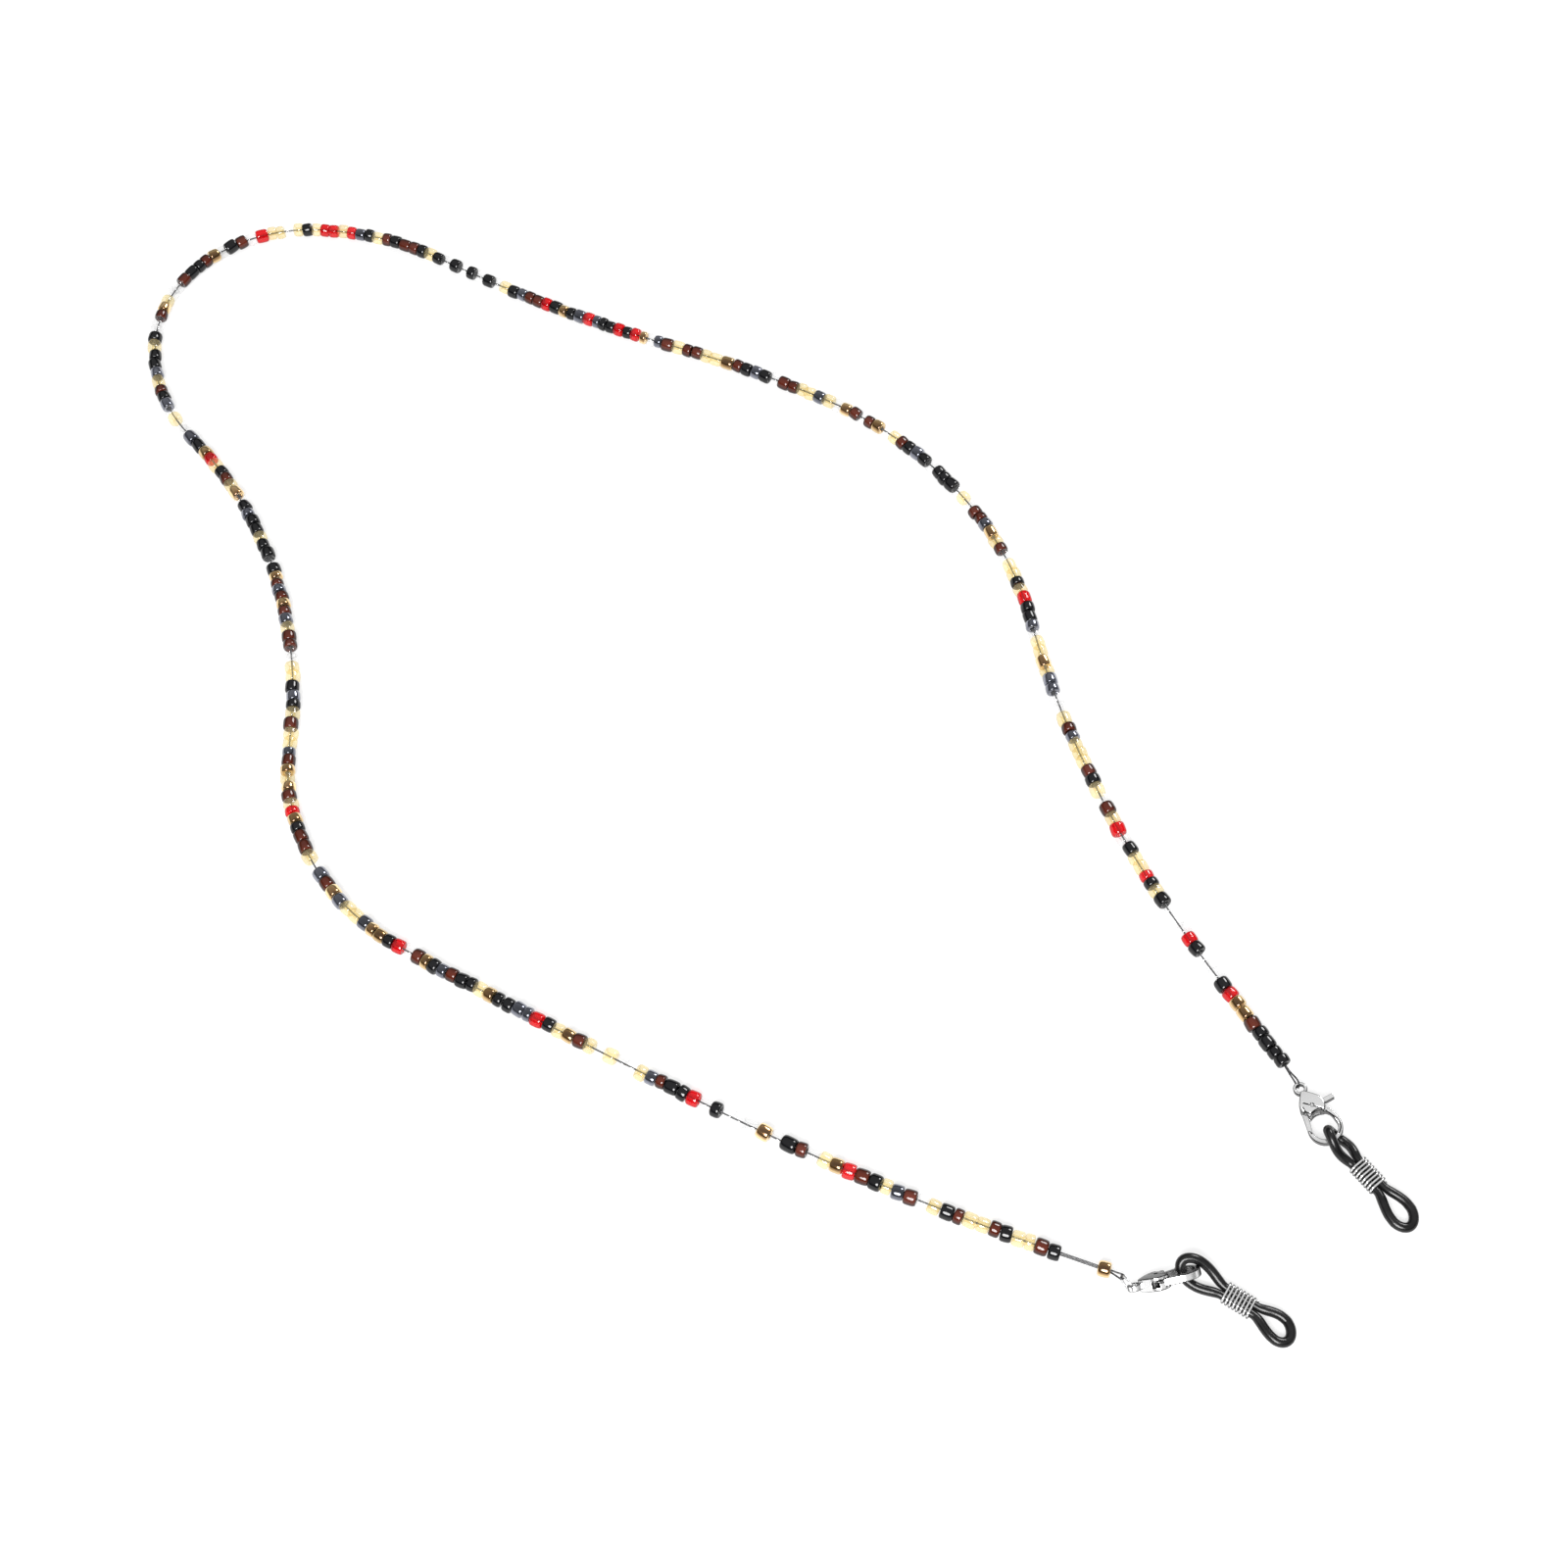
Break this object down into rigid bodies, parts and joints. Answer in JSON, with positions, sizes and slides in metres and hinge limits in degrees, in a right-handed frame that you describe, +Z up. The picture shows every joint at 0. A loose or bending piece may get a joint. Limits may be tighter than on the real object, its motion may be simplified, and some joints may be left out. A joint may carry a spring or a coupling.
{
  "type": "beaded eyeglass chain",
  "caption": "Eyeglass chain of glass seed beads on wire, with a lobster clasp and a coil-gripped rubber temple loop at each end.",
  "frame": {"origin": "on the floor, under the middle of the lying chain's bounding box", "axes": "+Z up from the floor; +X towards the end with the clasps; +Y away from the clasps towards the neck curve"},
  "size_m": [0.2614, 0.2743, 0.007],
  "materials": {
    "black_glass": "glossy opaque glass",
    "brown_glass": "glossy dark brown glass",
    "gold_glass": "metallic bronze lustre on glass",
    "red_glass": "transparent red glass",
    "clear_glass": "clear crystal glass",
    "champagne_glass": "pale yellow transparent glass",
    "gunmetal_glass": "hematite metallic lustre on glass",
    "beading_wire": "fine stranded steel under clear nylon",
    "polished_metal": "polished silver plate",
    "spring_steel": "bright spring wire",
    "black_rubber": "smooth black silicone"
  },
  "bodies": {
    "right_lower": {"right_lower_wire": "beading_wire", "right_lower_black_beads": "black_glass", "right_lower_brown_beads": "brown_glass", "right_lower_gold_beads": "gold_glass", "right_lower_red_beads": "red_glass", "right_lower_clear_beads": "clear_glass", "right_lower_champagne_beads": "champagne_glass", "right_lower_gunmetal_beads": "gunmetal_glass", "right_crimp": "polished_metal"},
    "right_upper": {"right_upper_wire": "beading_wire", "right_upper_black_beads": "black_glass", "right_upper_brown_beads": "brown_glass", "right_upper_gold_beads": "gold_glass", "right_upper_red_beads": "red_glass", "right_upper_clear_beads": "clear_glass", "right_upper_champagne_beads": "champagne_glass", "right_upper_gunmetal_beads": "gunmetal_glass"},
    "neck": {"neck_wire": "beading_wire", "neck_black_beads": "black_glass", "neck_brown_beads": "brown_glass", "neck_gold_beads": "gold_glass", "neck_red_beads": "red_glass", "neck_clear_beads": "clear_glass", "neck_champagne_beads": "champagne_glass", "neck_gunmetal_beads": "gunmetal_glass"},
    "left_upper": {"left_upper_wire": "beading_wire", "left_upper_black_beads": "black_glass", "left_upper_brown_beads": "brown_glass", "left_upper_gold_beads": "gold_glass", "left_upper_red_beads": "red_glass", "left_upper_clear_beads": "clear_glass", "left_upper_champagne_beads": "champagne_glass", "left_upper_gunmetal_beads": "gunmetal_glass"},
    "left_lower": {"left_lower_wire": "beading_wire", "left_lower_black_beads": "black_glass", "left_lower_brown_beads": "brown_glass", "left_lower_gold_beads": "gold_glass", "left_lower_red_beads": "red_glass", "left_lower_clear_beads": "clear_glass", "left_lower_champagne_beads": "champagne_glass", "left_lower_gunmetal_beads": "gunmetal_glass", "left_crimp": "polished_metal"},
    "right_clasp": {"right_clasp_body": "polished_metal", "right_clasp_pin": "polished_metal", "right_clasp_spring": "spring_steel"},
    "right_lever": {"right_clasp_lever": "polished_metal"},
    "right_loop": {"right_temple_loop": "black_rubber"},
    "right_coil": {"right_coil_grip": "spring_steel"},
    "left_clasp": {"left_clasp_body": "polished_metal", "left_clasp_pin": "polished_metal", "left_clasp_spring": "spring_steel"},
    "left_lever": {"left_clasp_lever": "polished_metal"},
    "left_loop": {"left_temple_loop": "black_rubber"},
    "left_coil": {"left_coil_grip": "spring_steel"},
    "left_ring": {"left_jump_ring": "polished_metal"}
  },
  "joints": [
    {"name": "right_shoulder_flex", "type": "hinge", "parent": "neck", "child": "right_upper", "pos_m": [-0.01674, 0.10125, 0.00159], "axis": [-0.3802, -0.9249, 0], "range_deg": [-25, 25]},
    {"name": "right_side_flex", "type": "hinge", "parent": "right_upper", "child": "right_lower", "pos_m": [0.06932, 0.01737, 0.00159], "axis": [-0.985, -0.1724, 0], "range_deg": [-25, 25]},
    {"name": "left_shoulder_flex", "type": "hinge", "parent": "neck", "child": "left_upper", "pos_m": [-0.09227, 0.03058, 0.00159], "axis": [-0.9394, -0.3428, 0], "range_deg": [-25, 25]},
    {"name": "left_side_flex", "type": "hinge", "parent": "left_upper", "child": "left_lower", "pos_m": [-0.03693, -0.07001, 0.00159], "axis": [-0.4874, -0.8732, 0], "range_deg": [-25, 25]},
    {"name": "right_clasp_swing", "type": "hinge", "parent": "right_lower", "child": "right_clasp", "pos_m": [0.11255, -0.08761, 0.0016], "axis": [0, 0, 1], "range_deg": [-45, 45]},
    {"name": "left_ring_swing", "type": "hinge", "parent": "left_lower", "child": "left_ring", "pos_m": [0.07651, -0.12442, 0.0018], "axis": [0, 0, 1], "range_deg": [-40, 40]},
    {"name": "left_clasp_swing", "type": "hinge", "parent": "left_ring", "child": "left_clasp", "pos_m": [0.07813, -0.12682, 0.00258], "axis": [-0.2796, 0.4145, 0.866], "range_deg": [-30, 30]},
    {"name": "right_lever_open", "type": "hinge", "parent": "right_clasp", "child": "right_lever", "pos_m": [0.11444, -0.092, 0.00204], "axis": [-0.2536, -0.0024, 0.9673], "range_deg": [0, 25], "stiffness_Nm_per_rad": 0.0001, "springref_deg": -28.65},
    {"name": "right_loop_swing", "type": "hinge", "parent": "right_clasp", "child": "right_loop", "pos_m": [0.11777, -0.09861, 0.0029], "axis": [0.7769, 0.5953, 0.2051], "range_deg": [-30, 30]},
    {"name": "left_lever_open", "type": "hinge", "parent": "left_clasp", "child": "left_lever", "pos_m": [0.08266, -0.12563, 0.00288], "axis": [0.2446, -0.8216, -0.515], "range_deg": [0, 25], "stiffness_Nm_per_rad": 0.0001, "springref_deg": -28.65},
    {"name": "left_loop_swing", "type": "hinge", "parent": "left_clasp", "child": "left_loop", "pos_m": [0.08988, -0.12359, 0.00305], "axis": [0.1606, -0.4895, 0.8571], "range_deg": [-20, 50]},
    {"name": "right_coil_slide", "type": "slide", "parent": "right_loop", "child": "right_coil", "axis": [0.5962, -0.8028, 0], "range_m": [-0.002, 0.004], "deforming": ["right_temple_loop"]},
    {"name": "left_coil_slide", "type": "slide", "parent": "left_loop", "child": "left_coil", "axis": [0.8271, -0.5621, 0], "range_m": [-0.002, 0.004], "deforming": ["left_temple_loop"]}
  ]
}
